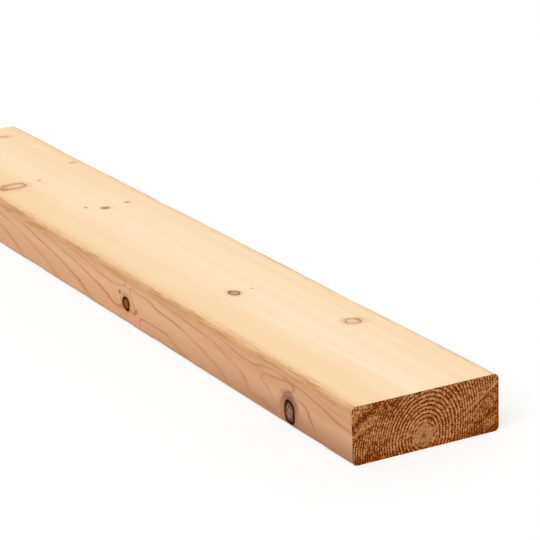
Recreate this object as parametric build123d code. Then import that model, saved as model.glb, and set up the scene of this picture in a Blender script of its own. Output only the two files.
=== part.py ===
from build123d import *

import os

# Planed timber plank: one length of sawn softwood, dressed on four sides, with eased long edges.
# Millimetres, +Z up. The plank lies flat on its wide face, its length along X and its width along Y.
# The origin is at the middle of the underside.

# Driving dimensions
LENGTH = 900.0
WIDTH = 125.0
THICKNESS = 45.0
EASED_EDGE_RADIUS = 4.0


def section():
    """Cross-section after planing: four flat sides, and an eased arris where two of them meet."""
    middle_of_thickness = THICKNESS / 2
    across = Plane.YZ.offset(-LENGTH / 2)
    outline = RectangleRounded(WIDTH, THICKNESS, EASED_EDGE_RADIUS)
    return across * Pos(0, middle_of_thickness) * outline


def plank():
    """The section carried along the grain, cross-cut square at both ends."""
    return extrude(section(), amount=LENGTH)


def main():
    os.makedirs("parts", exist_ok=True)
    pieces = {"plank": plank()}
    for node, solid in pieces.items():
        solid.label = node
        export_step(solid, f"parts/{node}.step")


if __name__ == "__main__":
    main()
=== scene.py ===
"""Planed softwood plank: its grain, knots, eased edges and sawn ends, under soft studio light."""

import math
from collections import namedtuple

import bpy
import numpy as np
from mathutils import Matrix, Vector


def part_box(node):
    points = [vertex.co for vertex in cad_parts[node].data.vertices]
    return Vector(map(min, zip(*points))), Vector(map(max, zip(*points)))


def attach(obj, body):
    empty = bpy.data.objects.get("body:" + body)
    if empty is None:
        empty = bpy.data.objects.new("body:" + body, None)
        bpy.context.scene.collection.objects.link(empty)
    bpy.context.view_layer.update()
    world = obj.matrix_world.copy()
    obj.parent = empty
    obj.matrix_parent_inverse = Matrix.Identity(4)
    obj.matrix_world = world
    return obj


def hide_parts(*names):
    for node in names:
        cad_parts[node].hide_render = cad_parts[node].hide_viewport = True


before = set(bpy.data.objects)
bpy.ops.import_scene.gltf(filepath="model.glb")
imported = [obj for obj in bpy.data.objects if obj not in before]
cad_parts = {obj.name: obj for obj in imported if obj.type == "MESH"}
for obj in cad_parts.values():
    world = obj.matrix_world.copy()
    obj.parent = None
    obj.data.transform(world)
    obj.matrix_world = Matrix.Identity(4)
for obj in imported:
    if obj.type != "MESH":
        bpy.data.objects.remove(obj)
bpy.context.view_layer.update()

# The plank's place and size, from the frame, in metres
LOW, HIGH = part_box("plank")
LENGTH = HIGH.x - LOW.x
WIDTH = HIGH.y - LOW.y
THICKNESS = HIGH.z - LOW.z
MIDDLE = (LOW + HIGH) / 2
FRONT = LOW.y
BACK = HIGH.y
TOP = HIGH.z
UNDERSIDE = LOW.z
EASED_EDGE_RADIUS = 0.004

# The mesh: how many points each way, and how deep its relief goes
POINTS_ALONG = 331
POINTS_ACROSS = 99
POINTS_UP = 37
SHARP_ANGLE = math.radians(40)
END_FACING = 0.8
WHOLLY_END = 0.99
TINY = 1e-9
KNOT_HOLLOW = 0.0003
EDGE_WANDER = 0.0006
EDGE_WANDER_SCALE = (28.0, 90.0, 90.0)
EDGE_WANDER_RANGE = (0.35, 0.75)
EDGE_FACING = (0.05, 0.4)
SAW_GROOVE = 0.0012

# The map for baked pictures: how its strips and its two ends share the picture's height and width
MAP_EDGE = 0.006
TOP_STRIP = (0.008, 0.300)
UNDERSIDE_STRIP = (0.310, 0.500)
FRONT_STRIP = (0.510, 0.660)
BACK_STRIP = (0.670, 0.765)
END_STRIP = (0.778, 0.992)
END_SPAN = 0.485

# The stem that the plank was cut from: its pith, growth rings and taper, and where the taper halts
PITH_SIDE = -0.0025
PITH_HEIGHT = 0.0105
RING_SPACING = 0.00275
RING_SHIFT = 0.975
RING_WOBBLE = 0.0009
RING_WOBBLE_SCALE = (30.0, 80.0, 80.0)
FLATTENED = (0.052, 0.0615)
FLAT_SHARE = 0.70
FLAT_HEIGHT = -0.002
TAPER = 0.037
Pause = namedtuple("Pause", "start end halt")
TAPER_PAUSES = (
    Pause(0.025, 0.175, 0.0041),
    Pause(0.325, 0.385, 0.0044),
)

# Noise: its middle, its usual range, and pairs of how much detail it has and how rough it is
MIDDLE_OF_NOISE = 0.5
NOISE_RANGE = (0.2, 0.8)
SOFT_NOISE = (3.0, 0.5)
FINE_NOISE = (3.0, 0.6)
ROUGH_NOISE = (2.0, 0.6)
SPECK_NOISE = (1.5, 0.6)
SAW_NOISE = (3.0, 0.7)

# How fine the planed faces' stripes, blushes, streaks and fibres are, in blobs to a metre
STRIPE_SCALE = (1.8, 105.0, 105.0)
BLUSH_SCALE = (9.0, 45.0, 45.0)
FINE_STREAK_SCALE = (9.0, 360.0, 360.0)
LINE_FADE_SCALE = (12.0, 60.0, 60.0)
EDGE_STREAK_SCALE = (22.0, 640.0, 640.0)
WAVE_SCALE = (35.0, 60.0, 60.0)
FIBRE_SCALE = (40.0, 1600.0, 1600.0)
KNOT_MOTTLE_SCALE = (640.0, 640.0, 420.0)

# The planed faces' grain: a range is where a noise starts to show and shows in full, a share how strongly
CALM_GRAIN = -0.25
LIVELY_GRAIN = 0.30
CALM_SHARE = 0.30
EVEN_SHARE = 0.5
STRIPE_RANGE = (0.34, 0.68)
BLUSH_RANGE = (0.45, 0.75)
BLUSH_SHARE = 0.50
FINE_STREAK_RANGE = (0.50, 0.72)
# By face: on the narrow ones, then on the wide ones
FINE_STREAKS_BY_FACE = (0.15, 0.03)

# The wood's surface: its shine, how rough the planed and the sawn faces are, and how deep their relief seems
SHINE = 0.0
PLANED_ROUGHNESS = (0.50, 0.64)
FIBRE_BUMP = 0.20
FIBRE_DEPTH = 0.0002
SAWN_ROUGHNESS = (0.75, 0.9)
SAWN_BUMP = 0.4
SAWN_DEPTH = 0.0003
LINE_DEPTH = 0.5

# Where the narrow faces are browner with painted shade, and the wide ones golden or palest
PAINTED_SHADE_START = 0.02
PAINTED_SHADE_HEIGHT = 0.026
PAINTED_SHADE_ALONG = (0.16, 1.0)
PAINTED_SHADE_UP = (1.0, 0.28)
GOLDEN_FRONT = (FRONT, 0.005)
GOLDEN_FRONT_SHARE = 0.45
GOLDEN_END = (-0.25, -0.11)
GOLDEN_END_SHARE = 0.22
PALEST_BAND = (-0.024, -0.006, 0.004, 0.030)
PALEST_SHARE = 0.4
PALE_STREAK_START = (0.180, -0.020)
PALE_STREAK_END = (0.440, -0.007)
PALE_STREAK_WIDTH = 0.0045
PALE_STREAK_FADE = 0.08
PALE_STREAK_SHARE = 0.75

# The dark line in each growth ring: where in the ring it lies, and where it is fainter
RING_LINE = (0.74, 0.90, 0.94, 1.0)
LINE_FADE_RANGE = (0.35, 0.62)
LINE_FADE_SHARES = (0.30, 0.72)
LOW_LINES = (UNDERSIDE + 0.003, UNDERSIDE + 0.018)
LOW_LINE_ALONG = (0.35, 0.40)
LOW_LINE_SHARES = (0.45, 0.12)
MIDDLE_LINE_SHARE = 0.9
HIGH_LINES = (TOP - 0.013, TOP - 0.004)
HIGH_LINE_SHARES = (1.0, 0.5)
WIDE_LINES = (0.012, 0.040)
WIDE_LINE_SHARE = 0.18

# The eased edges: how far gold, wear and streaks reach from them, and how strong they are
GOLD_START = 0.1
GOLD_ACROSS = (0.95, 0.35)
NARROW_GOLD = (0.45, 1.20)
EDGE_WAVES = 0.0035
WORN_EDGE = (0.0022, 0.0048)
WORN_SHARE = 0.54
WORN_STREAK_RANGE = (0.30, 0.70)
WORN_STREAK_SHARES = (0.45, 1.55)
WORN_TOP = (TOP - 0.0010, TOP - 0.00005)
WORN_TOP_SHARE = 0.35
STREAKED_EDGE = (0.0020, 0.0110)
EDGE_STREAK_RANGE = (0.50, 0.66)
EDGE_STREAK_SHARE = 0.7
# By face: on the narrow ones, then on the wide ones
GOLD_REACH_BY_FACE = (0.0085, 0.013)
EDGE_STREAKS_BY_FACE = (1.0, 0.8)

# Knots: where a branch meets the surface, its outline, its pull on the rings, its darkness and pale heart
Knot = namedtuple("Knot", "x y z half_length half_width ragged pull pull_along pull_across dark heart")
KNOTS = (
    Knot(0.0775, FRONT, 0.0182, 0.0069, 0.0067, 0.8, 0.0000, 0.011, 0.009, 0.93, 0.95),
    Knot(0.3585, FRONT, 0.0122, 0.0086, 0.0097, 0.5, 0.0070, 0.013, 0.013, 1.00, 0.95),
    Knot(0.0983, FRONT, 0.0167, 0.0030, 0.0022, 0.9, 0.0000, 0.010, 0.008, 0.36, 0.00),
    Knot(0.0667, FRONT, 0.0259, 0.0030, 0.0028, 1.4, 0.0000, 0.010, 0.008, 0.36, 0.00),
    Knot(0.2906, 0.0328, TOP, 0.0060, 0.0052, 1.3, 0.0020, 0.018, 0.012, 0.50, 0.95),
    Knot(0.1762, -0.0100, TOP, 0.0068, 0.0046, 0.8, 0.0020, 0.018, 0.012, 0.64, 0.85),
    Knot(-0.1115, 0.0085, TOP, 0.0042, 0.0042, 0.6, 0.0015, 0.016, 0.009, 0.56, 0.00),
    Knot(-0.1172, 0.0336, TOP, 0.0022, 0.0019, 0.5, 0.0010, 0.012, 0.006, 0.52, 0.00),
    Knot(-0.1230, -0.0062, TOP, 0.0018, 0.0015, 0.5, 0.0008, 0.010, 0.005, 0.56, 0.00),
    Knot(0.1742, 0.0073, TOP, 0.0013, 0.0011, 0.5, 0.0005, 0.008, 0.004, 0.45, 0.00),
    Knot(-0.2768, 0.0492, TOP, 0.0034, 0.0026, 0.6, 0.0010, 0.014, 0.008, 0.43, 0.00),
    Knot(-0.2350, -0.0042, TOP, 0.0036, 0.0021, 0.5, 0.0008, 0.014, 0.006, 0.42, 0.00),
    Knot(-0.2305, -0.0306, TOP, 0.0100, 0.0110, 0.5, 0.0030, 0.030, 0.018, 0.46, 1.00),
    Knot(-0.2262, -0.0432, TOP, 0.0056, 0.0046, 0.9, 0.0000, 0.014, 0.008, 0.46, 0.00),
    Knot(-0.4142, 0.0320, TOP, 0.0050, 0.0058, 0.7, 0.0020, 0.024, 0.012, 0.44, 0.00),
    Knot(0.3340, BACK, 0.0260, 0.0070, 0.0078, 0.6, 0.0040, 0.018, 0.014, 0.92, 0.70),
    Knot(0.0560, BACK, 0.0150, 0.0055, 0.0062, 0.6, 0.0030, 0.014, 0.012, 0.80, 0.60),
    Knot(-0.2420, BACK, 0.0220, 0.0074, 0.0084, 0.6, 0.0040, 0.018, 0.015, 0.95, 0.80),
    Knot(-0.3060, FRONT, 0.0240, 0.0060, 0.0066, 0.6, 0.0030, 0.014, 0.012, 0.88, 0.60),
    Knot(0.3480, 0.0300, UNDERSIDE, 0.0064, 0.0058, 0.9, 0.0020, 0.018, 0.010, 0.60, 0.70),
    Knot(0.0660, -0.0210, UNDERSIDE, 0.0054, 0.0048, 0.9, 0.0020, 0.016, 0.010, 0.58, 0.60),
    Knot(-0.2360, 0.0180, UNDERSIDE, 0.0072, 0.0064, 0.9, 0.0020, 0.018, 0.011, 0.55, 0.80),
)
KNOT_WANDER_SCALE = 110.0
BRANCH_LEAN = 0.12
LEAST_SHARE = 0.03
FAR_AWAY = 100.0

# The look of a knot, 1 being its outline: a name with DARK gives the darknesses a look changes between
STAIN_REACH = (0.95, 2.0)
STAIN_DARK = (0.40, 0.48)
STAIN_SHARE = 0.80
STAIN_RISE = (0.008, 0.023)
LOW_STAIN = 0.45
INNER_ARC = (1.14, 1.22, 1.26, 1.34)
OUTER_ARC = (1.44, 1.52, 1.56, 1.66)
ARC_DARK = (0.94, 0.99)
ARC_SHARE = 0.45
NARROW_RIM_DARK = (0.60, 0.95)
NARROW_RIM = 0.03
UNEVEN_RIM_DARK = (0.50, 0.64)
UNEVEN_RIM = (1.2, 0.9)
HEART_EDGE = (0.48, 0.84)
HEART_MOTTLE = (0.34, 0.60)
HEART_MOTTLE_DARK = (0.46, 0.90)
HEART_LEAST = (0.65, 0.20)
KNOT_STREAK_RANGE = (0.58, 0.72)
KNOT_STREAK_SHARE = 0.5
KNOT_RINGS = 3.6
KNOT_RING_LINE = (0.45, 0.75, 0.85, 1.0)
KNOT_RING_RANGE = (0.35, 0.65)
KNOT_RING_SHARES = (0.1, 0.6)
KNOT_RING_DARK = (0.44, 0.60)
PALE_KNOT_RINGS = 0.25
KNOT_OUTLINE = 1.05
FULL_HEART = 0.6
KNOT_SOFTNESS = (0.40, 0.14)
HOLLOW_EDGE = (0.5, 1.05)

# Broad swirls of the rings beside the larger knots: where, how far outwards, how long and how wide
Swirl = namedtuple("Swirl", "x y z pull along across")
SWIRLS = (
    Swirl(0.0560, FRONT, 0.0140, -0.0007, 0.016, 0.007),
    Swirl(0.0860, FRONT, 0.0340, 0.0012, 0.018, 0.009),
    Swirl(0.1010, FRONT, 0.0150, -0.0005, 0.009, 0.005),
    Swirl(0.1250, FRONT, 0.0030, 0.0011, 0.030, 0.008),
    Swirl(0.1220, FRONT, 0.0190, -0.00145, 0.030, 0.007),
    Swirl(0.1220, FRONT, 0.0340, 0.0009, 0.022, 0.007),
    Swirl(0.1720, FRONT, 0.0100, -0.0006, 0.016, 0.007),
    Swirl(0.1500, FRONT, 0.0370, -0.0009, 0.025, 0.008),
    Swirl(0.2400, FRONT, 0.0320, 0.0007, 0.022, 0.008),
    Swirl(0.3000, FRONT, 0.0100, -0.0012, 0.020, 0.008),
    Swirl(0.3220, FRONT, 0.0250, -0.0010, 0.008, 0.005),
    Swirl(0.3350, FRONT, 0.0370, 0.0030, 0.030, 0.0065),
    Swirl(0.3400, FRONT, 0.0190, -0.0036, 0.012, 0.009),
    Swirl(0.3580, FRONT, 0.0300, -0.0030, 0.013, 0.005),
    Swirl(0.4180, FRONT, 0.0100, -0.0030, 0.032, 0.013),
    Swirl(0.4650, FRONT, 0.0435, -0.0130, 0.055, 0.0075),
    Swirl(0.3600, BACK, 0.0360, 0.0040, 0.050, 0.015),
    Swirl(-0.2200, BACK, 0.0300, 0.0040, 0.060, 0.015),
)

# The fold beside the front's first knot, where each ring runs on as the next: it leans back as it rises
FOLD_START = 0.1034
FOLD_END = 0.1168
FOLD_LEAN = 0.8
FOLD_DEPTH = 0.030
FOLD_MIDDLE = (FOLD_START + FOLD_END) / 2
FOLD_LINE_REACH = FOLD_END - FOLD_START
FOLD_LINE = 1.9

# The rings on the sawn ends: leaning ovals, closer far from the pith, torn, and fading out round the pith
END_RING_WIDTH = 0.00267
END_RING_HEIGHT = 0.00320
END_RING_LEAN = 0.12
END_RING_SHIFT = 0.0019
FAR_RING_WIDTH = 0.00205
FAR_RINGS_START = 0.029
END_RING_LINE = (0.40, 0.63, 0.80, 0.97)
RING_SHAKE = 0.14
TORN_LINE_RANGE = (0.30, 0.54)
TORN_LINE_SHARE = 0.35
SMEARED_LINE_SHARE = 0.35
PITH_RAGGED = 0.004
PITH_EDGE = (0.007, 0.013)
SMOOTH_PITH = (0.0050, 0.0115)
SMOOTH_PITH_SHARE = 0.45
PITH_DOT_REACH = (0.0006, 0.0026)
PITH_DOT_SHARE = 0.85

# How fine the ends' tears, specks and rays are, and how much each makes the wood darker or paler
TEAR_SCALE = (30.0, 420.0, 420.0)
SPECK_SCALE = (30.0, 1000.0, 1000.0)
RAY_SCALE = (14.0, 60.0, 1.0)
END_LINE_SHADE = 1.1
TEAR_RANGE = (0.25, 0.75)
TEAR_SHADES = (-0.08, 0.14)
SPECK_RANGE = (0.28, 0.72)
SPECK_SHADE = 0.54
RAY_RANGE = (0.3, 0.7)
RAY_SHADE = 0.12

# The ends: darker towards the bottom and towards one side edge, and a splintered upper edge
EDGE_DARKENING = 0.30
DARKER_LOW = (UNDERSIDE, UNDERSIDE + 0.009)
DARKER_SIDE_EDGE = (BACK - 0.003, BACK)
SPLINTERED_EDGE = (TOP - 0.002, TOP - 0.0006)
SPLINTER_RANGE = (0.4, 0.6)
SPLINTER_SHADES = (0.5, -0.6)

# The saw's marks on the ends: their slant, the faint ones, the smears, and then the plainest marks
SAW_SLANT = math.radians(33)
SAW_SCALE = (20.0, 480.0, 1.0)
SAW_FAINT_MARKS = 0.80
SMEAR_SIDE = (0.030, 0.050)
SMEAR_LOW = (0.006, 0.000)
SMEAR_HIGH = (0.044, 0.054)
SMEAR_SHADES = (0.11, 0.34)
SMEARED_SAW_SHARE = 1.4
MARK_FADE = 0.006
Mark = namedtuple("Mark", "across start end half_width shade")
SAW_MARKS = (
    Mark(0.0020, 0.045, 0.074, 0.0012, 0.14),
    Mark(-0.0014, 0.038, 0.076, 0.0008, 0.34),
    Mark(-0.0034, 0.040, 0.076, 0.0010, -0.26),
    Mark(-0.0157, 0.034, 0.056, 0.0015, -0.18),
    Mark(0.0580, -0.038, -0.012, 0.0022, -0.24),
    Mark(0.0517, -0.042, -0.012, 0.0019, 0.22),
    Mark(0.0477, -0.042, -0.028, 0.0012, -0.20),
    Mark(0.0650, -0.036, -0.020, 0.0018, 0.20),
)

# Darker stains on the ends
END_STAIN_EDGE = (0.2, 1.0)
Stain = namedtuple("Stain", "y z wide high dark")
END_STAINS = (
    Stain(-0.030, 0.036, 0.018, 0.014, 0.18),
    Stain(-0.048, 0.006, 0.022, 0.012, 0.12),
    Stain(0.046, 0.006, 0.024, 0.012, 0.04),
)

# The camera, fitted to the photograph's straight edges, in metres and degrees
CAMERA_PLACE = (1.7562, -0.8262, 0.6372)
CAMERA_AZIMUTH = 61.720
CAMERA_ELEVATION = 17.883
CAMERA_ROLL = -2.106
CAMERA_LENS = 153.32
CAMERA_SENSOR = 36.0

# Light: a soft lamp over the camera's shoulder, a weak one from behind, and a pale sky
Lamp = namedtuple("Lamp", "name strength towards softness")
LAMPS = (
    Lamp("studio_sun", 2.15, (0.38, -0.56, 0.736), math.radians(50)),
    Lamp("studio_fill", 0.80, (-0.62, 0.75, 0.22), math.radians(60)),
)
SKY_STRENGTH = 0.45
FLOOR_SIZE = 40.0
SHADOW_SHARE = 0.35
FLOOR_BOUNCE = 0.40
WHITE = (1.0, 1.0, 1.0, 1.0)

# Tones as the screen shows them, 0 to 255. A pair is for the narrow faces and for the wide ones
# The wide faces' tones are paler: partly the wood's own colour, partly painted light for the washed-out look
# of the brightly lit top
PALE_WOOD = ((250, 199, 154), (252, 226, 188))
TAN_WOOD = ((241, 187, 142), (250, 218, 178))
ROSY_WOOD = ((246, 182, 140), (252, 214, 178))
LATE_WOOD = ((188, 114, 74), (230, 182, 134))
GOLD_EDGE = ((228, 168, 116), (241, 197, 150))
PAINTED_SHADE_BROWN = (194, 138, 106)
GOLDEN_WOOD = (247, 206, 154)
PALEST_WOOD = (253, 231, 198)
WORN_WOOD = (176, 128, 84)
STREAK_WOOD = (190, 136, 88)
# The same by how dark a knot is: its rim, its heart, and the wood round it
KNOT_RIMS = (
    (0.20, (244, 206, 152)),
    (0.28, (240, 204, 152)),
    (0.36, (204, 138, 104)),
    (0.42, (222, 178, 128)),
    (0.44, (232, 184, 144)),
    (0.46, (204, 150, 114)),
    (0.50, (200, 146, 102)),
    (0.56, (186, 146, 98)),
    (0.64, (140, 100, 76)),
    (0.93, (78, 32, 11)),
    (1.00, (52, 24, 14)),
)
KNOT_HEARTS = (
    (0.46, (242, 202, 168)),
    (0.50, (252, 217, 182)),
    (0.64, (232, 194, 160)),
    (0.93, (180, 112, 66)),
    (1.00, (196, 144, 118)),
)
KNOT_STAINS = (
    (0.46, (238, 196, 152)),
    (0.50, (234, 190, 144)),
    (0.64, (236, 192, 146)),
    (0.93, (206, 146, 108)),
    (1.00, (148, 92, 82)),
)
# Tones that all knots share: the streaks and rings in them, and the arcs round them
KNOT_STREAK = (214, 168, 130)
KNOT_SHADOW = (150, 104, 84)
KNOT_ARC = (108, 62, 56)
# The sawn ends by how dark they are, and their pith
END_TONES = (
    (0.00, (232, 168, 113)),
    (0.12, (213, 142, 86)),
    (0.35, (187, 112, 56)),
    (0.60, (156, 84, 31)),
    (1.00, (110, 45, 6)),
)
PITH_WOOD = (196, 136, 80)
PITH_DOT = (128, 76, 36)

# Kinds of socket
FLOAT = "NodeSocketFloat"
VECTOR = "NodeSocketVector"
GEOMETRY = "NodeSocketGeometry"


def paint(red, green, blue):
    """A colour written as the screen shows it, 0 to 255, as the linear light that Blender works in."""
    linear = []
    for part in (red, green, blue):
        share = part / 255
        linear.append(share / 12.92 if share <= 0.04045 else ((share + 0.055) / 1.055) ** 2.4)
    return (*linear, 1.0)


class Wiring:
    """Writes nodes into one tree. A value is a number, a tuple or another node's output."""

    def __init__(self, tree):
        self.tree = tree

    def feed(self, socket, value):
        if isinstance(value, bpy.types.NodeSocket):
            self.tree.links.new(value, socket)
        else:
            socket.default_value = value

    def put(self, kind, inputs=(), **settings):
        node = self.tree.nodes.new(kind)
        for name, value in settings.items():
            setattr(node, name, value)
        for name, value in dict(inputs).items():
            self.feed(node.inputs[name], value)
        return node

    def put_group(self, kind, tree, inputs):
        return self.put(kind, inputs, node_tree=tree)

    def math(self, operation, *values):
        return self.put("ShaderNodeMath", enumerate(values), operation=operation).outputs[0]

    def plus(self, first, second):
        return self.math("ADD", first, second)

    def minus(self, first, second):
        return self.math("SUBTRACT", first, second)

    def times(self, first, second):
        return self.math("MULTIPLY", first, second)

    def apart(self, value, middle):
        return self.math("ABSOLUTE", self.minus(value, middle))

    def vector(self, operation, *values):
        node = self.put("ShaderNodeVectorMath", enumerate(values), operation=operation)
        gives_number = operation in ("DOT_PRODUCT", "LENGTH", "DISTANCE")
        return node.outputs["Value" if gives_number else "Vector"]

    def scaled(self, vector, size):
        inputs = {"Vector": vector, "Scale": size}
        return self.put("ShaderNodeVectorMath", inputs, operation="SCALE").outputs["Vector"]

    def parts(self, vector):
        return self.put("ShaderNodeSeparateXYZ", {"Vector": vector}).outputs

    def more_than(self, value, limit):
        """For Geometry Nodes: true where value is above limit."""
        settings = {"data_type": "FLOAT", "operation": "GREATER_THAN"}
        return self.put("FunctionNodeCompare", {0: value, 1: limit}, **settings).outputs[0]

    def moved(self, geometry, offset):
        return self.put("GeometryNodeSetPosition", {"Geometry": geometry, "Offset": offset}).outputs[0]

    def joined(self, x, y, z):
        return self.put("ShaderNodeCombineXYZ", {"X": x, "Y": y, "Z": z}).outputs[0]

    def ramp(self, value, start, end, low=0.0, high=1.0):
        """Rises smoothly from low at start to high at end, and stays level outside them."""
        inputs = {"Value": value, "From Min": start, "From Max": end, "To Min": low, "To Max": high}
        return self.put("ShaderNodeMapRange", inputs, interpolation_type="SMOOTHSTEP").outputs[0]

    def band(self, value, start, inner_start, inner_end, end):
        """Rises from start to inner_start and falls from inner_end to end."""
        rising = self.ramp(value, start, inner_start)
        falling = self.ramp(value, inner_end, end, 1.0, 0.0)
        return self.times(rising, falling)

    def noise(self, place, scale, detail=2.0, rough=0.5):
        """Smooth noise, 0 to 1, with so many blobs to each unit of its place, each way."""
        inputs = {"Vector": self.vector("MULTIPLY", place, scale), "Scale": 1.0}
        inputs.update({"Detail": detail, "Roughness": rough})
        return self.put("ShaderNodeTexNoise", inputs).outputs[0]

    def tones(self, value, stops):
        """A colour for each value, from stops of a value and its tone."""
        node = self.put("ShaderNodeValToRGB", {"Fac": value})
        steps = node.color_ramp.elements
        while len(steps) < len(stops):
            steps.new(1.0)
        for step, (position, tone) in zip(steps, stops):
            step.position = position
            step.color = paint(*tone)
        return node.outputs["Color"]

    def blend(self, share, first, second):
        inputs = {0: share, 2: first, 3: second}
        return self.put("ShaderNodeMix", inputs, data_type="FLOAT").outputs[0]

    def tint(self, share, first, second, how="MIX"):
        inputs = {0: share, 6: first, 7: second}
        return self.put("ShaderNodeMix", inputs, data_type="RGBA", blend_type=how).outputs[2]


def new_group(name, kind, takes, gives):
    """An empty node group with its named sockets: its wiring, what comes in and where results go."""
    tree = bpy.data.node_groups.new(name, kind)
    for label, socket in takes.items():
        tree.interface.new_socket(label, in_out="INPUT", socket_type=socket)
    for label, socket in gives.items():
        tree.interface.new_socket(label, in_out="OUTPUT", socket_type=socket)
    wiring = Wiring(tree)
    return wiring, wiring.put("NodeGroupInput").outputs, wiring.put("NodeGroupOutput").inputs


def branch_group(kind):
    """One branch, as a cone from the pith out to the surface. It adds its pull on the rings to what the
    branches before it gave, and where it is the nearest so far it hands on its own wood."""
    wiring, given, result = new_group(
        "branch",
        kind,
        {
            "Place": VECTOR, "Wander": VECTOR, "Foot": VECTOR, "Direction": VECTOR, "Depth": FLOAT,
            "Half Size": VECTOR, "Ragged": FLOAT, "Pull": FLOAT, "Pull Reach": VECTOR,
            "Dark": FLOAT, "Heart": FLOAT,
            "Bend So Far": FLOAT, "Nearest So Far": FLOAT, "Dark So Far": FLOAT, "Heart So Far": FLOAT,
        },
        {"Bend": FLOAT, "Nearest": FLOAT, "Dark": FLOAT, "Heart": FLOAT},
    )
    away = wiring.vector("SUBTRACT", given["Place"], given["Foot"])
    along = wiring.vector("DOT_PRODUCT", away, given["Direction"])
    offset = wiring.vector("SUBTRACT", away, wiring.scaled(given["Direction"], along))
    share = wiring.plus(wiring.math("DIVIDE", along, given["Depth"]), 1.0)
    share = wiring.math("MAXIMUM", share, LEAST_SHARE)
    outline = wiring.vector("DIVIDE", offset, given["Half Size"])
    outline = wiring.vector("ADD", outline, wiring.scaled(given["Wander"], given["Ragged"]))
    distance = wiring.math("DIVIDE", wiring.vector("LENGTH", outline), share)
    spread = wiring.vector("DIVIDE", offset, given["Pull Reach"])
    fall_off = wiring.times(wiring.vector("DOT_PRODUCT", spread, spread), -1.0)
    pull = wiring.times(given["Pull"], wiring.math("EXPONENT", fall_off))
    pull = wiring.times(pull, wiring.math("MINIMUM", share, 1.0))
    nearer = wiring.math("LESS_THAN", distance, given["Nearest So Far"])
    wiring.feed(result["Bend"], wiring.plus(given["Bend So Far"], pull))
    wiring.feed(result["Nearest"], wiring.math("MINIMUM", distance, given["Nearest So Far"]))
    for part in ("Dark", "Heart"):
        wiring.feed(result[part], wiring.blend(nearer, given[part + " So Far"], given[part]))
    return wiring.tree


def swirl_group(kind):
    """One broad swirl of the rings, added to the bends before it."""
    takes = {"Place": VECTOR, "Middle": VECTOR, "Pull": FLOAT, "Pull Reach": VECTOR, "Bend So Far": FLOAT}
    wiring, given, result = new_group("swirl", kind, takes, {"Bend": FLOAT})
    away = wiring.vector("SUBTRACT", given["Place"], given["Middle"])
    spread = wiring.vector("DIVIDE", away, given["Pull Reach"])
    fall_off = wiring.times(wiring.vector("DOT_PRODUCT", spread, spread), -1.0)
    pull = wiring.times(given["Pull"], wiring.math("EXPONENT", fall_off))
    wiring.feed(result["Bend"], wiring.plus(given["Bend So Far"], pull))
    return wiring.tree


def along_fold(wiring, x, z):
    """How far along the plank a place is, beside a line that leans as the fold does."""
    return wiring.plus(x, wiring.times(z, FOLD_LEAN))


def fold(wiring, place):
    """The bend of one whole ring past the fold."""
    x, y, z = wiring.parts(place)
    past = wiring.ramp(along_fold(wiring, x, z), FOLD_START, FOLD_END, 0.0, RING_SPACING)
    return wiring.times(past, wiring.ramp(y, FRONT, FRONT + FOLD_DEPTH, 1.0, 0.0))


def branches_group(kind, group_node):
    """All the branches at a place inside the plank: their pull on the rings, and the nearest one's wood."""
    gives = {"Bend": FLOAT, "Nearest": FLOAT, "Dark": FLOAT, "Heart": FLOAT}
    wiring, given, result = new_group("branches", kind, {"Place": VECTOR}, gives)
    branch = branch_group(kind)
    swirl = swirl_group(kind)
    place = given["Place"]
    bend = fold(wiring, place)
    for broad in SWIRLS:
        inputs = {
            "Place": place, "Middle": (broad.x, broad.y, broad.z), "Pull": broad.pull,
            "Pull Reach": (broad.along, broad.across, broad.across), "Bend So Far": bend,
        }
        bend = wiring.put_group(group_node, swirl, inputs).outputs["Bend"]
    # No branch is quite round
    wander = wiring.put("ShaderNodeTexNoise", {"Vector": place, "Scale": KNOT_WANDER_SCALE})
    wander = wiring.vector("SUBTRACT", wander.outputs["Color"], (MIDDLE_OF_NOISE,) * 3)
    so_far = {"Bend": bend, "Nearest": FAR_AWAY, "Dark": 0.0, "Heart": 0.0}
    for knot in KNOTS:
        reach = Vector((0.0, knot.y - PITH_SIDE, knot.z - PITH_HEIGHT))
        reach.x = BRANCH_LEAN * reach.length
        inputs = {
            "Place": place, "Wander": wander, "Foot": (knot.x, knot.y, knot.z),
            "Direction": reach.normalized(), "Depth": reach.length,
            "Half Size": (knot.half_length, knot.half_width, knot.half_width), "Ragged": knot.ragged,
            "Pull": knot.pull, "Pull Reach": (knot.pull_along, knot.pull_across, knot.pull_across),
            "Dark": knot.dark, "Heart": knot.heart,
        }
        inputs.update({part + " So Far": value for part, value in so_far.items()})
        node = wiring.put_group(group_node, branch, inputs)
        so_far = {part: node.outputs[part] for part in gives}
    for part, value in so_far.items():
        wiring.feed(result[part], value)
    return wiring.tree


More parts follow.
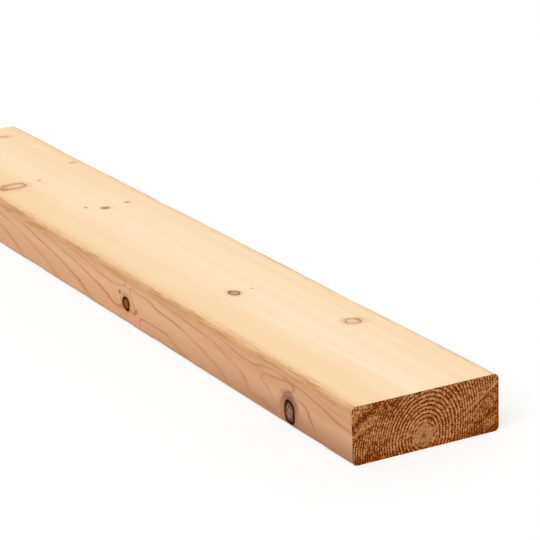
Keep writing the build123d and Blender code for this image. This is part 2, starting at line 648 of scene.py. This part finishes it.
def stem_group(kind):
    """The stem that the plank was cut from: where a place lies in its growth ring, and at what angle from the
    pith."""
    gives = {"Ring Place": FLOAT, "Pith Angle": FLOAT}
    wiring, given, result = new_group("stem", kind, {"Place": VECTOR, "Bend": FLOAT}, gives)
    x, y, z = wiring.parts(given["Place"])
    side = wiring.minus(y, PITH_SIDE)
    flattened = wiring.ramp(wiring.math("ABSOLUTE", y), *FLATTENED)
    flat_height = wiring.times(wiring.minus(z, FLAT_HEIGHT), FLAT_SHARE)
    height = wiring.blend(flattened, wiring.minus(z, PITH_HEIGHT), flat_height)
    radius = wiring.vector("LENGTH", wiring.joined(0.0, side, height))
    wobble = wiring.minus(wiring.noise(given["Place"], RING_WOBBLE_SCALE, *SOFT_NOISE), MIDDLE_OF_NOISE)
    wobble = wiring.times(wobble, RING_WOBBLE)
    grown = wiring.plus(radius, wiring.times(x, TAPER))
    for pause in TAPER_PAUSES:
        grown = wiring.minus(grown, wiring.ramp(x, pause.start, pause.end, 0.0, pause.halt))
    grown = wiring.plus(wiring.minus(grown, given["Bend"]), wobble)
    rings = wiring.plus(wiring.math("DIVIDE", grown, RING_SPACING), RING_SHIFT)
    wiring.feed(result["Ring Place"], wiring.math("FRACT", rings))
    wiring.feed(result["Pith Angle"], wiring.math("ARCTAN2", height, side))
    return wiring.tree


def new_material(name):
    material = bpy.data.materials.new(name)
    material.use_nodes = True
    material.node_tree.nodes.clear()
    return material, Wiring(material.node_tree)


def finish_material(wiring, colour, roughness, height, bump_strength, bump_depth):
    inputs = {"Height": height, "Strength": bump_strength, "Distance": bump_depth}
    bump = wiring.put("ShaderNodeBump", inputs)
    inputs = {
        "Base Color": colour, "Roughness": roughness, "Specular IOR Level": SHINE,
        "Normal": bump.outputs["Normal"],
    }
    surface = wiring.put("ShaderNodeBsdfPrincipled", inputs)
    wiring.put("ShaderNodeOutputMaterial", {"Surface": surface.outputs["BSDF"]})


def by_face(wiring, wide, tones):
    """A tone for the narrow faces and one for the wide ones."""
    narrow_tone, wide_tone = tones
    return wiring.tint(wide, paint(*narrow_tone), paint(*wide_tone))


def straight_grain(wiring, place, x, stripes, wide):
    """Stripes along the grain, from pale to tan and calmer towards one end, blushes of a warmer tone, and
    thin darker streaks."""
    calm = wiring.ramp(x, CALM_GRAIN, LIVELY_GRAIN, CALM_SHARE, 0.0)
    share = wiring.blend(calm, wiring.ramp(stripes, *STRIPE_RANGE), EVEN_SHARE)
    colour = wiring.tint(share, by_face(wiring, wide, PALE_WOOD), by_face(wiring, wide, TAN_WOOD))
    blush = wiring.ramp(wiring.noise(place, BLUSH_SCALE), *BLUSH_RANGE, 0.0, BLUSH_SHARE)
    colour = wiring.tint(blush, colour, by_face(wiring, wide, ROSY_WOOD))
    streak = wiring.noise(place, FINE_STREAK_SCALE, *FINE_NOISE)
    streaked = wiring.ramp(streak, *FINE_STREAK_RANGE)
    streaked = wiring.times(streaked, wiring.blend(wide, *FINE_STREAKS_BY_FACE))
    return wiring.tint(streaked, colour, by_face(wiring, wide, LATE_WOOD))


def shaded_faces(wiring, x, y, z, wide, colour):
    """The narrow faces are browner towards one end and low down, which is painted shade, the wide ones golden
    at the front and towards the other end, and palest along the middle."""
    # Painted shade: the narrow faces turn browner towards one end and towards the floor, where less light
    # reaches
    painted_shade = wiring.times(
        wiring.ramp(x, PAINTED_SHADE_START, HIGH.x, *PAINTED_SHADE_ALONG),
        wiring.ramp(z, UNDERSIDE, UNDERSIDE + PAINTED_SHADE_HEIGHT, *PAINTED_SHADE_UP),
    )
    painted_shade = wiring.times(painted_shade, wiring.blend(wide, 1.0, 0.0))
    colour = wiring.tint(painted_shade, colour, paint(*PAINTED_SHADE_BROWN))
    golden = wiring.plus(
        wiring.ramp(y, *GOLDEN_FRONT, GOLDEN_FRONT_SHARE, 0.0),
        wiring.ramp(x, *GOLDEN_END, GOLDEN_END_SHARE, 0.0),
    )
    colour = wiring.tint(wiring.times(golden, wide), colour, paint(*GOLDEN_WOOD))
    palest = wiring.times(wiring.band(y, *PALEST_BAND), wide)
    colour = wiring.tint(wiring.times(palest, PALEST_SHARE), colour, paint(*PALEST_WOOD))
    return wiring.tint(wiring.times(pale_streak(wiring, x, y), wide), colour, paint(*PALEST_WOOD))


def pale_streak(wiring, x, y):
    """One pale streak, a little aslant to the length."""
    start_x, start_y = PALE_STREAK_START
    end_x, end_y = PALE_STREAK_END
    slant = (end_y - start_y) / (end_x - start_x)
    middle = wiring.plus(start_y, wiring.times(wiring.minus(x, start_x), slant))
    share = wiring.ramp(wiring.apart(y, middle), 0.0, PALE_STREAK_WIDTH, PALE_STREAK_SHARE, 0.0)
    return wiring.times(share, wiring.ramp(x, start_x, start_x + PALE_STREAK_FADE))


def latewood_lines(wiring, place, x, y, z, wood, wide, colour):
    """The dark line in each growth ring, stronger in some places and at the fold, and faint where a wide face
    runs along it."""
    line = wiring.band(wood["Ring Place"], *RING_LINE)
    fade = wiring.ramp(wiring.noise(place, LINE_FADE_SCALE), *LINE_FADE_RANGE, *LINE_FADE_SHARES)
    line = wiring.times(line, fade)
    low_share = wiring.ramp(x, *LOW_LINE_ALONG, *LOW_LINE_SHARES)
    low_down = wiring.ramp(z, *LOW_LINES, low_share, MIDDLE_LINE_SHARE)
    high_up = wiring.ramp(z, *HIGH_LINES, *HIGH_LINE_SHARES)
    on_wide = wiring.ramp(wiring.apart(y, PITH_SIDE), *WIDE_LINES, 0.0, WIDE_LINE_SHARE)
    line = wiring.times(line, wiring.blend(wide, wiring.times(low_down, high_up), on_wide))
    off_fold = wiring.apart(along_fold(wiring, x, z), FOLD_MIDDLE)
    line = wiring.times(line, wiring.ramp(off_fold, 0.0, FOLD_LINE_REACH, FOLD_LINE, 1.0))
    return wiring.tint(line, colour, by_face(wiring, wide, LATE_WOOD))


def eased_edges(wiring, place, x, y, z, wide, colour):
    """Gold towards the upper long edges, and worn brown streaks along them."""
    from_side = wiring.minus(WIDTH / 2, wiring.math("ABSOLUTE", y))
    from_edge = wiring.plus(from_side, wiring.minus(TOP, z))
    reach = wiring.blend(wide, *GOLD_REACH_BY_FACE)
    gold = wiring.ramp(wiring.math("DIVIDE", from_edge, reach), GOLD_START, 1.0, 1.0, 0.0)
    gold = wiring.times(gold, wiring.ramp(y, FRONT, BACK, *GOLD_ACROSS))
    gold = wiring.times(gold, wiring.blend(wide, wiring.ramp(x, LOW.x, HIGH.x, *NARROW_GOLD), 1.0))
    colour = wiring.tint(gold, colour, by_face(wiring, wide, GOLD_EDGE))
    waves = wiring.times(wiring.minus(wiring.noise(place, WAVE_SCALE), MIDDLE_OF_NOISE), EDGE_WAVES)
    streak_place = wiring.vector("ADD", place, wiring.joined(0.0, waves, waves))
    streak = wiring.noise(streak_place, EDGE_STREAK_SCALE, *FINE_NOISE)
    worn = wiring.ramp(from_edge, *WORN_EDGE, WORN_SHARE, 0.0)
    worn = wiring.times(worn, wiring.ramp(streak, *WORN_STREAK_RANGE, *WORN_STREAK_SHARES))
    worn = wiring.times(worn, wiring.ramp(z, *WORN_TOP, 1.0, WORN_TOP_SHARE))
    colour = wiring.tint(worn, colour, paint(*WORN_WOOD))
    streaked = wiring.times(
        wiring.ramp(streak, *EDGE_STREAK_RANGE, 0.0, EDGE_STREAK_SHARE),
        wiring.ramp(from_edge, *STREAKED_EDGE, 1.0, 0.0),
    )
    streaked = wiring.times(streaked, wiring.blend(wide, *EDGE_STREAKS_BY_FACE))
    return wiring.tint(streaked, colour, paint(*STREAK_WOOD))


def knot_stain(wiring, z, knot, dark, colour):
    """The wood round a knot: a stain, and dark arcs round the darkest ones, both fainter low down."""
    stain = wiring.times(wiring.ramp(knot, *STAIN_REACH, STAIN_SHARE, 0.0), wiring.ramp(dark, *STAIN_DARK))
    stain = wiring.times(stain, wiring.ramp(z, *STAIN_RISE, LOW_STAIN, 1.0))
    colour = wiring.tint(stain, colour, wiring.tones(dark, KNOT_STAINS))
    arcs = wiring.math("MAXIMUM", wiring.band(knot, *INNER_ARC), wiring.band(knot, *OUTER_ARC))
    arcs = wiring.times(arcs, wiring.ramp(dark, *ARC_DARK, 0.0, ARC_SHARE))
    arcs = wiring.times(arcs, wiring.ramp(z, *STAIN_RISE))
    return wiring.tint(arcs, colour, paint(*KNOT_ARC))


def knot_heart(wiring, knot, dark, heart, mottle):
    """The wood in a knot: a rim round a paler, mottled heart, with rings of its own."""
    rim = wiring.minus(knot, wiring.ramp(dark, *NARROW_RIM_DARK, NARROW_RIM, 0.0))
    uneven = wiring.times(
        wiring.minus(mottle, MIDDLE_OF_NOISE), wiring.ramp(dark, *UNEVEN_RIM_DARK, *UNEVEN_RIM)
    )
    rim = wiring.plus(rim, uneven)
    heart = wiring.times(wiring.ramp(rim, *HEART_EDGE, 1.0, 0.0), heart)
    least = wiring.ramp(dark, *HEART_MOTTLE_DARK, *HEART_LEAST)
    heart = wiring.times(heart, wiring.ramp(mottle, *HEART_MOTTLE, least, 1.0))
    inner = wiring.tint(heart, wiring.tones(dark, KNOT_RIMS), wiring.tones(dark, KNOT_HEARTS))
    streak = wiring.times(wiring.ramp(mottle, *KNOT_STREAK_RANGE, 0.0, KNOT_STREAK_SHARE), heart)
    inner = wiring.tint(streak, inner, paint(*KNOT_STREAK))
    growth = wiring.math("FRACT", wiring.plus(wiring.times(knot, KNOT_RINGS), mottle))
    growth = wiring.times(
        wiring.band(growth, *KNOT_RING_LINE), wiring.ramp(mottle, *KNOT_RING_RANGE, *KNOT_RING_SHARES)
    )
    growth = wiring.times(growth, wiring.ramp(dark, *KNOT_RING_DARK, PALE_KNOT_RINGS, 1.0))
    return wiring.tint(growth, inner, paint(*KNOT_SHADOW), "MULTIPLY")


def knot_wood(wiring, place, z, knots, colour):
    """Knots and the wood round them. One with a heart has a crisp outline, one without a soft one."""
    knot = knots["Nearest"]
    dark = knots["Dark"]
    colour = knot_stain(wiring, z, knot, dark, colour)
    mottle = wiring.noise(place, KNOT_MOTTLE_SCALE, *ROUGH_NOISE)
    inner = knot_heart(wiring, knot, dark, knots["Heart"], mottle)
    softness = wiring.ramp(knots["Heart"], 0.0, FULL_HEART, *KNOT_SOFTNESS)
    inside = wiring.ramp(wiring.math("DIVIDE", wiring.minus(KNOT_OUTLINE, knot), softness), 0.0, 1.0)
    return wiring.tint(inside, colour, inner)


def planed_softwood(branches, stem):
    """The four planed faces and their eased edges."""
    material, wiring = new_material("planed_softwood")
    place = wiring.put("ShaderNodeTexCoord").outputs["Object"]
    knots = wiring.put_group("ShaderNodeGroup", branches, {"Place": place}).outputs
    wood = wiring.put_group("ShaderNodeGroup", stem, {"Place": place, "Bend": knots["Bend"]}).outputs
    x, y, z = wiring.parts(place)
    # 1 on the wide faces, 0 on the narrow ones, in between on the eased edges
    upper = wiring.ramp(z, TOP - EASED_EDGE_RADIUS, TOP)
    lower = wiring.ramp(z, UNDERSIDE, UNDERSIDE + EASED_EDGE_RADIUS, 1.0, 0.0)
    wide = wiring.math("MAXIMUM", upper, lower)
    stripes = wiring.noise(place, STRIPE_SCALE)
    colour = straight_grain(wiring, place, x, stripes, wide)
    colour = shaded_faces(wiring, x, y, z, wide, colour)
    colour = latewood_lines(wiring, place, x, y, z, wood, wide, colour)
    colour = eased_edges(wiring, place, x, y, z, wide, colour)
    colour = knot_wood(wiring, place, z, knots, colour)
    roughness = wiring.ramp(stripes, *NOISE_RANGE, *PLANED_ROUGHNESS)
    fibre = wiring.noise(place, FIBRE_SCALE)
    finish_material(wiring, colour, roughness, fibre, FIBRE_BUMP, FIBRE_DEPTH)
    return material


def turned_to_saw(wiring, side, z):
    """How far a place on an end lies across the saw's slant, and along it."""
    steep = math.sin(SAW_SLANT)
    level = math.cos(SAW_SLANT)
    across = wiring.minus(wiring.times(z, level), wiring.times(side, steep))
    along = wiring.plus(wiring.times(z, steep), wiring.times(side, level))
    return across, along


def saw_marks_group(kind):
    """The slanting marks that a saw leaves on a cross-cut end: above 0 where they are paler than the wood
    round them, below 0 where they are darker. Also how far they have smeared the rings."""
    gives = {"Shade": FLOAT, "Smear": FLOAT}
    wiring, given, result = new_group("saw_marks", kind, {"Place": VECTOR}, gives)
    x, y, z = wiring.parts(given["Place"])
    side = wiring.times(y, wiring.math("SIGN", x))
    across, along = turned_to_saw(wiring, side, z)
    faint = wiring.noise(wiring.joined(along, across, x), SAW_SCALE, *SAW_NOISE)
    shade = wiring.times(wiring.minus(faint, MIDDLE_OF_NOISE), SAW_FAINT_MARKS)
    for mark in SAW_MARKS:
        strength = wiring.ramp(wiring.apart(across, mark.across), 0.0, 2 * mark.half_width, mark.shade, 0.0)
        fade = wiring.band(along, mark.start - MARK_FADE, mark.start, mark.end, mark.end + MARK_FADE)
        shade = wiring.plus(shade, wiring.times(strength, fade))
    wiring.feed(result["Shade"], shade)
    low_smear = wiring.times(wiring.ramp(side, *SMEAR_SIDE), wiring.ramp(across, *SMEAR_LOW))
    wiring.feed(result["Smear"], wiring.math("MAXIMUM", low_smear, wiring.ramp(across, *SMEAR_HIGH)))
    return wiring.tree


def oval_place(wiring, x, y, z):
    """A place moved so that the stem's round rings come out narrower than high, closer together far from
    the pith, and leaning to one side."""
    above = wiring.minus(z, PITH_HEIGHT)
    lean = wiring.times(wiring.math("MAXIMUM", above, 0.0), END_RING_LEAN)
    beside = wiring.minus(wiring.minus(y, PITH_SIDE), lean)
    far = wiring.minus(wiring.math("ABSOLUTE", beside), FAR_RINGS_START)
    far = wiring.times(wiring.math("MAXIMUM", far, 0.0), END_RING_WIDTH / FAR_RING_WIDTH - 1.0)
    beside = wiring.plus(beside, wiring.times(wiring.math("SIGN", beside), far))
    wide = wiring.times(beside, RING_SPACING / END_RING_WIDTH)
    high = wiring.times(above, RING_SPACING / END_RING_HEIGHT)
    return wiring.joined(x, wiring.plus(wide, PITH_SIDE), wiring.plus(high, PITH_HEIGHT))


def torn_rings(wiring, rings, torn, speck, smear):
    """The dark lines of the rings, torn into dashes and smeared by the saw."""
    ring_place = wiring.plus(rings, wiring.ramp(speck, *TEAR_RANGE, -RING_SHAKE, RING_SHAKE))
    line = wiring.band(ring_place, *END_RING_LINE)
    line = wiring.times(line, wiring.ramp(torn, *TORN_LINE_RANGE, TORN_LINE_SHARE, 1.0))
    return wiring.times(line, wiring.ramp(smear, 0.0, 1.0, 1.0, SMEARED_LINE_SHARE))


def end_shade(wiring, line, torn, speck, ray_place, saw):
    """How dark an end is, from its rings, specks, tears and rays, and the saw's marks."""
    smear = saw["Smear"]
    shade = wiring.plus(wiring.times(line, END_LINE_SHADE), wiring.ramp(smear, 0.0, 1.0, *SMEAR_SHADES))
    shade = wiring.plus(shade, wiring.ramp(speck, *SPECK_RANGE, SPECK_SHADE, -SPECK_SHADE))
    shade = wiring.plus(shade, wiring.ramp(torn, *TEAR_RANGE, *TEAR_SHADES))
    rays = wiring.noise(ray_place, RAY_SCALE)
    shade = wiring.plus(shade, wiring.ramp(rays, *RAY_RANGE, RAY_SHADE, -RAY_SHADE))
    saw_share = wiring.ramp(smear, 0.0, 1.0, 1.0, SMEARED_SAW_SHARE)
    return wiring.minus(shade, wiring.times(saw["Shade"], saw_share))


def end_stains_and_edges(wiring, side, z, speck, shade):
    """An end's shade with stains, darker towards the bottom and one side edge, and a splintered upper edge.
    """
    for stain in END_STAINS:
        away = wiring.joined(
            wiring.math("DIVIDE", wiring.minus(side, stain.y), stain.wide),
            wiring.math("DIVIDE", wiring.minus(z, stain.z), stain.high),
            0.0,
        )
        stained = wiring.ramp(wiring.vector("LENGTH", away), *END_STAIN_EDGE, stain.dark, 0.0)
        shade = wiring.plus(shade, stained)
    # Darker towards the bottom and towards one side edge
    shade = wiring.plus(shade, wiring.ramp(z, *DARKER_LOW, EDGE_DARKENING, 0.0))
    shade = wiring.plus(shade, wiring.ramp(side, *DARKER_SIDE_EDGE, 0.0, EDGE_DARKENING))
    splinters = wiring.ramp(speck, *SPLINTER_RANGE, *SPLINTER_SHADES)
    return wiring.plus(shade, wiring.times(wiring.ramp(z, *SPLINTERED_EDGE), splinters))


def sawn_end_grain(stem, saw_marks):
    """The two cross-cut ends, where the rings show as arcs, torn by the saw."""
    material, wiring = new_material("sawn_end_grain")
    place = wiring.put("ShaderNodeTexCoord").outputs["Object"]
    x, y, z = wiring.parts(place)
    side = wiring.times(y, wiring.math("SIGN", x))
    rings = {"Place": oval_place(wiring, x, y, z), "Bend": -END_RING_SHIFT}
    wood = wiring.put_group("ShaderNodeGroup", stem, rings).outputs
    saw = wiring.put_group("ShaderNodeGroup", saw_marks, {"Place": place}).outputs
    torn = wiring.noise(place, TEAR_SCALE, *FINE_NOISE)
    speck = wiring.noise(place, SPECK_SCALE, *SPECK_NOISE)
    line = torn_rings(wiring, wood["Ring Place"], torn, speck, saw["Smear"])
    # The rings fade into the smooth pith
    from_pith = wiring.vector("DISTANCE", wiring.joined(0.0, y, z), (0.0, PITH_SIDE, PITH_HEIGHT))
    ragged = wiring.plus(from_pith, wiring.ramp(torn, *TEAR_RANGE, -PITH_RAGGED, PITH_RAGGED))
    line = wiring.times(line, wiring.ramp(ragged, *PITH_EDGE))
    ray_place = wiring.joined(wood["Pith Angle"], from_pith, 0.0)
    shade = end_shade(wiring, line, torn, speck, ray_place, saw)
    shade = end_stains_and_edges(wiring, side, z, speck, shade)
    colour = wiring.tones(shade, END_TONES)
    smooth = wiring.ramp(ragged, *SMOOTH_PITH, SMOOTH_PITH_SHARE, 0.0)
    colour = wiring.tint(smooth, colour, paint(*PITH_WOOD))
    dot = wiring.ramp(from_pith, *PITH_DOT_REACH, PITH_DOT_SHARE, 0.0)
    colour = wiring.tint(dot, colour, paint(*PITH_DOT))
    roughness = wiring.ramp(torn, *NOISE_RANGE, *SAWN_ROUGHNESS)
    height = wiring.minus(speck, wiring.times(line, LINE_DEPTH))
    finish_material(wiring, colour, roughness, height, SAWN_BUMP, SAWN_DEPTH)
    return material


def past_the_flat(wiring, place, size, radius):
    """How far a place is past the flat part of a face, into the eased edge."""
    flat = wiring.minus(wiring.times(size, 0.5), radius)
    return wiring.math("MAXIMUM", wiring.minus(wiring.math("ABSOLUTE", place), flat), 0.0)


def eased_offset(wiring, given, y, z):
    """How far each point moves so that a square corner becomes a quarter circle of the eased radius."""
    radius = given["Eased Edge Radius"]
    past_y = past_the_flat(wiring, y, given["Width"], radius)
    past_z = past_the_flat(wiring, z, given["Thickness"], radius)
    larger = wiring.math("MAXIMUM", past_y, past_z)
    across = wiring.math("MAXIMUM", wiring.vector("LENGTH", wiring.joined(0.0, past_y, past_z)), TINY)
    shrink = wiring.minus(wiring.math("DIVIDE", larger, across), 1.0)
    shrink = wiring.times(shrink, wiring.math("GREATER_THAN", larger, TINY))
    moved_y = wiring.times(wiring.math("SIGN", y), wiring.times(past_y, shrink))
    moved_z = wiring.times(wiring.math("SIGN", z), wiring.times(past_z, shrink))
    return wiring.joined(0.0, moved_y, moved_z)


def relief_depth(wiring, given, here, facing):
    """How deep the relief is: hollows at the knots, wandering eased edges, and the saw's grooves."""
    kind = "GeometryNodeTree"
    group_node = "GeometryNodeGroup"
    knots = wiring.put_group(group_node, branches_group(kind, group_node), {"Place": here}).outputs
    hollow = wiring.times(wiring.ramp(knots["Nearest"], *HOLLOW_EDGE, 1.0, 0.0), knots["Dark"])
    hollow = wiring.times(hollow, given["Knot Hollow"])
    on_edge = wiring.ramp(wiring.times(facing["Y"], facing["Z"]), *EDGE_FACING)
    wander = wiring.noise(here, EDGE_WANDER_SCALE, *ROUGH_NOISE)
    wander = wiring.times(wiring.ramp(wander, *EDGE_WANDER_RANGE), given["Edge Wander"])
    wander = wiring.times(wander, on_edge)
    saw = wiring.put_group(group_node, saw_marks_group(kind), {"Place": here}).outputs["Shade"]
    groove = wiring.math("MAXIMUM", wiring.times(saw, -1.0), 0.0)
    groove = wiring.times(groove, given["Saw Groove"])
    groove = wiring.times(groove, wiring.math("GREATER_THAN", facing["X"], WHOLLY_END))
    return wiring.plus(wiring.plus(hollow, wander), groove)


def smooth_shading(wiring, block):
    """Smooth round the eased edges, with sharp edges at the sawn ends."""
    inputs = {"Geometry": block, "Shade Smooth": True}
    smooth = wiring.put("GeometryNodeSetShadeSmooth", inputs, domain="FACE")
    angle = wiring.put("GeometryNodeInputMeshEdgeAngle").outputs["Unsigned Angle"]
    is_sharp = wiring.more_than(angle, SHARP_ANGLE)
    inputs = {"Geometry": smooth.outputs[0], "Selection": is_sharp, "Shade Smooth": False}
    return wiring.put("GeometryNodeSetShadeSmooth", inputs, domain="EDGE").outputs[0]


def plank_tree(planed, sawn):
    """Geometry Nodes for the plank: a block of points, its long edges eased, its relief cut inwards."""
    takes = {
        "Length": FLOAT, "Width": FLOAT, "Thickness": FLOAT, "Eased Edge Radius": FLOAT,
        "Knot Hollow": FLOAT, "Edge Wander": FLOAT, "Saw Groove": FLOAT, "Middle": VECTOR,
    }
    wiring, given, result = new_group("planed_plank", "GeometryNodeTree", takes, {"Geometry": GEOMETRY})
    size = wiring.joined(given["Length"], given["Width"], given["Thickness"])
    counts = {"Vertices X": POINTS_ALONG, "Vertices Y": POINTS_ACROSS, "Vertices Z": POINTS_UP}
    block = wiring.put("GeometryNodeMeshCube", {"Size": size, **counts}).outputs["Mesh"]
    here = wiring.put("GeometryNodeInputPosition").outputs[0]
    _, y, z = wiring.parts(here)
    block = wiring.moved(block, eased_offset(wiring, given, y, z))
    block = wiring.moved(block, given["Middle"])
    normal = wiring.put("GeometryNodeInputNormal").outputs[0]
    facing = wiring.parts(wiring.vector("ABSOLUTE", normal))
    inwards = wiring.scaled(normal, wiring.times(relief_depth(wiring, given, here, facing), -1.0))
    block = wiring.moved(block, inwards)
    block = smooth_shading(wiring, block)
    block = wiring.put("GeometryNodeRealizeInstances", {"Geometry": block}).outputs[0]
    block = wiring.put("GeometryNodeSetMaterial", {"Geometry": block, "Material": planed}).outputs[0]
    is_end = wiring.more_than(facing["X"], END_FACING)
    inputs = {"Geometry": block, "Selection": is_end, "Material": sawn}
    wiring.feed(result["Geometry"], wiring.put("GeometryNodeSetMaterial", inputs).outputs[0])
    return wiring.tree


def make_plank():
    stem = stem_group("ShaderNodeTree")
    branches = branches_group("ShaderNodeTree", "ShaderNodeGroup")
    saw_marks = saw_marks_group("ShaderNodeTree")
    tree = plank_tree(planed_softwood(branches, stem), sawn_end_grain(stem, saw_marks))
    maker = bpy.data.objects.new("plank_maker", bpy.data.meshes.new("plank_maker"))
    bpy.context.scene.collection.objects.link(maker)
    modifier = maker.modifiers.new("planed_plank", "NODES")
    modifier.node_group = tree
    sizes = {
        "Length": LENGTH, "Width": WIDTH, "Thickness": THICKNESS, "Eased Edge Radius": EASED_EDGE_RADIUS,
        "Knot Hollow": KNOT_HOLLOW, "Edge Wander": EDGE_WANDER, "Saw Groove": SAW_GROOVE, "Middle": MIDDLE,
    }
    for item in tree.interface.items_tree:
        if item.in_out == "INPUT":
            modifier[item.identifier] = sizes[item.name]
    made = maker.evaluated_get(bpy.context.evaluated_depsgraph_get())
    mesh = bpy.data.meshes.new_from_object(made)
    bpy.data.objects.remove(maker)
    mesh.name = "planed_plank"
    lay_out_map(mesh)
    plank = bpy.data.objects.new("planed_plank", mesh)
    bpy.context.scene.collection.objects.link(plank)
    return plank


def lay_out_map(mesh):
    """A map for baked pictures: the long faces as strips one above the other, the two ends side by side."""
    points = np.empty(len(mesh.vertices) * 3)
    mesh.vertices.foreach_get("co", points)
    corners = np.empty(len(mesh.loops), dtype=np.int32)
    mesh.loops.foreach_get("vertex_index", corners)
    counts = np.empty(len(mesh.polygons), dtype=np.int32)
    mesh.polygons.foreach_get("loop_total", counts)
    normals = np.empty(len(mesh.polygons) * 3)
    mesh.polygons.foreach_get("normal", normals)
    share = (points.reshape(-1, 3)[corners] - np.array(LOW)) / np.array(HIGH - LOW)
    facing = np.repeat(normals.reshape(-1, 3), counts, axis=0)
    is_end = np.abs(facing[:, 0]) > END_FACING
    is_wide = ~is_end & (np.abs(facing[:, 2]) >= np.abs(facing[:, 1]))
    is_narrow = ~is_end & ~is_wide
    spot = np.zeros((len(corners), 2))
    along = MAP_EDGE + share[:, 0] * (1.0 - 2 * MAP_EDGE)
    strips = (
        (is_wide & (facing[:, 2] > 0), 1, TOP_STRIP),
        (is_wide & (facing[:, 2] < 0), 1, UNDERSIDE_STRIP),
        (is_narrow & (facing[:, 1] < 0), 2, FRONT_STRIP),
        (is_narrow & (facing[:, 1] > 0), 2, BACK_STRIP),
    )
    for chosen, axis, (low, high) in strips:
        spot[chosen, 0] = along[chosen]
        spot[chosen, 1] = low + share[chosen, axis] * (high - low)
    low, high = END_STRIP
    ends = (
        (is_end & (facing[:, 0] > 0), MAP_EDGE),
        (is_end & (facing[:, 0] < 0), 0.5 + MAP_EDGE),
    )
    for chosen, start in ends:
        spot[chosen, 0] = start + share[chosen, 1] * END_SPAN
        spot[chosen, 1] = low + share[chosen, 2] * (high - low)
    mesh.uv_layers.new(name="OFBake").uv.foreach_set("vector", spot.ravel())


def seen_directly(wiring):
    """1 for what the camera sees, also in a mirror or through glass, and 0 for light that bounces."""
    light_path = wiring.put("ShaderNodeLightPath").outputs
    seen = wiring.math("MAXIMUM", light_path["Is Camera Ray"], light_path["Is Glossy Ray"])
    return wiring.math("MAXIMUM", seen, light_path["Is Transmission Ray"])


def pale_floor():
    """Nearly white, with a faint shadow. It bounces less light than it seems to."""
    material, wiring = new_material("pale_floor")
    seen = seen_directly(wiring)
    bounce = (FLOOR_BOUNCE, FLOOR_BOUNCE, FLOOR_BOUNCE, 1.0)
    shaded = wiring.put("ShaderNodeBsdfDiffuse", {"Color": wiring.tint(seen, bounce, WHITE)})
    lit = wiring.put("ShaderNodeEmission", {"Color": WHITE, "Strength": 1.0})
    evenly = wiring.times(seen, 1.0 - SHADOW_SHARE)
    surface = wiring.put("ShaderNodeMixShader", {0: evenly, 1: shaded.outputs[0], 2: lit.outputs[0]})
    wiring.put("ShaderNodeOutputMaterial", {"Surface": surface.outputs[0]})
    return material


def make_floor():
    half = FLOOR_SIZE / 2
    corners = ((-half, -half), (half, -half), (half, half), (-half, half))
    mesh = bpy.data.meshes.new("floor")
    mesh.from_pydata([(x, y, UNDERSIDE) for x, y in corners], [], [(0, 1, 2, 3)])
    floor = bpy.data.objects.new("floor", mesh)
    bpy.context.scene.collection.objects.link(floor)
    mesh.materials.append(pale_floor())
    return floor


def make_light():
    for lamp in LAMPS:
        light = bpy.data.lights.new(lamp.name, "SUN")
        light.energy = lamp.strength
        light.angle = lamp.softness
        holder = bpy.data.objects.new(lamp.name, light)
        holder.rotation_mode = "QUATERNION"
        holder.rotation_quaternion = Vector(lamp.towards).to_track_quat("Z", "Y")
        bpy.context.scene.collection.objects.link(holder)
    world = bpy.data.worlds.new("studio_sky")
    world.use_nodes = True
    world.node_tree.nodes.clear()
    wiring = Wiring(world.node_tree)
    strength = wiring.blend(seen_directly(wiring), SKY_STRENGTH, 1.0)
    sky = wiring.put("ShaderNodeBackground", {"Color": WHITE, "Strength": strength})
    wiring.put("ShaderNodeOutputWorld", {"Surface": sky.outputs[0]})
    bpy.context.scene.world = world


def make_camera():
    azimuth = math.radians(CAMERA_AZIMUTH)
    elevation = math.radians(CAMERA_ELEVATION)
    level = math.cos(elevation)
    back = Vector((math.sin(azimuth) * level, -math.cos(azimuth) * level, math.sin(elevation)))
    right = Vector((math.cos(azimuth), math.sin(azimuth), 0.0))
    up = back.cross(right)
    turn = Matrix((right, up, back)).transposed() @ Matrix.Rotation(math.radians(CAMERA_ROLL), 3, "Z")
    lens = bpy.data.cameras.new("photo_camera")
    lens.sensor_width = CAMERA_SENSOR
    lens.lens = CAMERA_LENS
    camera = bpy.data.objects.new("photo_camera", lens)
    camera.matrix_world = Matrix.Translation(CAMERA_PLACE) @ turn.to_4x4()
    bpy.context.scene.collection.objects.link(camera)
    bpy.context.scene.camera = camera


plank = make_plank()
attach(plank, "root")
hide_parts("plank")
make_floor()
make_light()
make_camera()
bpy.context.scene.view_settings.view_transform = "Standard"
